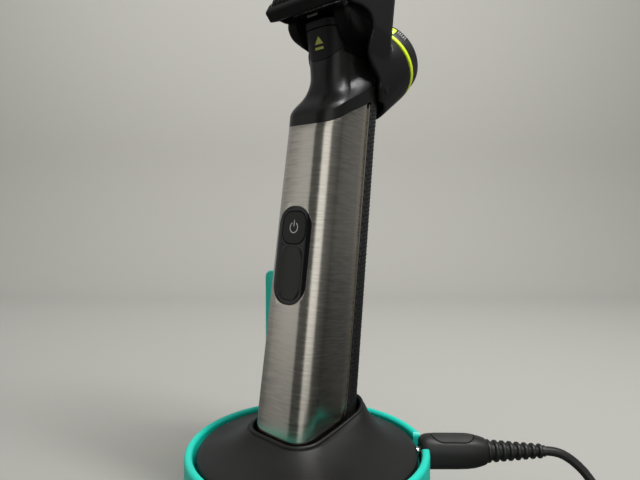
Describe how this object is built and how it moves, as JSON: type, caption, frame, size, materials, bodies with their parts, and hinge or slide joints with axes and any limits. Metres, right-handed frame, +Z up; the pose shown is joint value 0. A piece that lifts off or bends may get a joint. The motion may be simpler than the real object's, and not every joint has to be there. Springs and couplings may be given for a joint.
{
  "type": "shaver charging stand",
  "caption": "Open ring holder with a back plate, round charging stand seated in it, and a leaning trimmer with a length comb; plug and cord at the side.",
  "frame": {"origin": "centre of the ring holder on the surface that it stands on", "axes": "+Z up, +Y to the back plate, +X to the plug and its cord"},
  "size_m": [0.1668, 0.1441, 0.2158],
  "materials": {
    "print_turquoise": "printed, satin",
    "stand_black": "matte",
    "rubber_black": "matte",
    "screw_steel": "plain",
    "contact_gold": "polished",
    "board_green": "satin",
    "inner_plastic": "matte",
    "sleeve_metal": "brushed across, satin",
    "grip_black": "ribbed, matte",
    "neck_black": "satin",
    "panel_gloss": "gloss",
    "window_lens": "gloss",
    "cell_wrap": "gloss",
    "motor_steel": "plain",
    "blade_steel": "ground",
    "comb_black": "satin",
    "dial_lime": "satin",
    "lead_black": "satin",
    "adapter_black": "fine grain"
  },
  "bodies": {
    "holder": {"holder": "print_turquoise"},
    "stand": {"stand_shell": "stand_black", "stand_base": "stand_black", "stand_feet": "rubber_black", "stand_screws": "screw_steel", "contact_block": "neck_black", "contact_pins": "contact_gold", "stand_board": "board_green", "inlet_socket": "neck_black"},
    "lead": {"plug_body": "lead_black", "plug_grip": "rubber_black", "plug_tip": "screw_steel", "strain_relief": "lead_black", "cord": "lead_black", "cord_coil": "lead_black", "coil_tie": "rubber_black", "adapter_body": "adapter_black", "adapter_relief": "lead_black", "adapter_pins": "screw_steel"},
    "shaver": {"handle_sleeve": "sleeve_metal", "grip_back": "grip_black", "chassis": "inner_plastic", "end_cap": "neck_black", "charge_contacts": "contact_gold", "cell": "cell_wrap", "main_board": "board_green", "button_switch": "screw_steel", "motor": "motor_steel", "grip_screws": "screw_steel", "button_panel": "panel_gloss", "display_window": "window_lens", "neck_housing": "neck_black"},
    "power_button": {"power_button": "panel_gloss"},
    "release": {"release_slider": "neck_black"},
    "drive": {"drive_shaft": "screw_steel"},
    "head": {"blade_carrier": "neck_black", "guard_plate": "blade_steel"},
    "cutter": {"cutter": "blade_steel"},
    "comb_mount": {"comb_cradle": "comb_black"},
    "comb": {"comb_frame": "comb_black", "comb_teeth": "comb_black"},
    "wheel": {"length_wheel": "neck_black", "dial_ring": "dial_lime", "wheel_spindle": "screw_steel"}
  },
  "joints": [
    {"name": "stand_lift", "type": "slide", "parent": "holder", "child": "stand", "axis": [0, 0, 1], "range_m": [0, 0.03]},
    {"name": "plug_pull", "type": "slide", "parent": "stand", "child": "lead", "axis": [1, 0, 0], "range_m": [0, 0.014]},
    {"name": "shaver_lift", "type": "slide", "parent": "stand", "child": "shaver", "axis": [0.0888, 0.0645, 0.994], "range_m": [0, 0.03]},
    {"name": "power_press", "type": "slide", "parent": "shaver", "child": "power_button", "axis": [0.6644, 0.7397, -0.1073], "range_m": [0, 0.0005], "stiffness_N_per_m": 1200, "springref_m": -0.0008},
    {"name": "release_push", "type": "slide", "parent": "shaver", "child": "release", "axis": [0.0888, 0.0645, 0.994], "range_m": [0, 0.003], "stiffness_N_per_m": 400, "springref_m": -0.001},
    {"name": "drive_spin", "type": "hinge", "parent": "shaver", "child": "drive", "pos_m": [0.01364, 0.01615, 0.17888], "axis": [0.0888, 0.0645, 0.994], "continuous": true},
    {"name": "head_pull", "type": "slide", "parent": "shaver", "child": "head", "axis": [0.0888, 0.0645, 0.994], "range_m": [0, 0.012]},
    {"name": "cutter_stroke", "type": "slide", "parent": "head", "child": "cutter", "axis": [0.7421, -0.6699, -0.0228], "range_m": [-0.001, 0.001]},
    {"name": "comb_pull", "type": "slide", "parent": "head", "child": "comb_mount", "axis": [0.0888, 0.0645, 0.994], "range_m": [0, 0.012]},
    {"name": "comb_raise", "type": "slide", "parent": "comb_mount", "child": "comb", "axis": [0.0888, 0.0645, 0.994], "range_m": [0, 0.0096]},
    {"name": "wheel_turn", "type": "hinge", "parent": "comb", "child": "wheel", "pos_m": [0.02867, 0.03272, 0.18109], "axis": [0.5254, 0.5602, 0.6404], "range_deg": [0, 300]}
  ],
  "couplings": [
    {"joint": "comb_raise", "follows": "wheel_turn", "m_per_rad": 0.0018335}
  ]
}
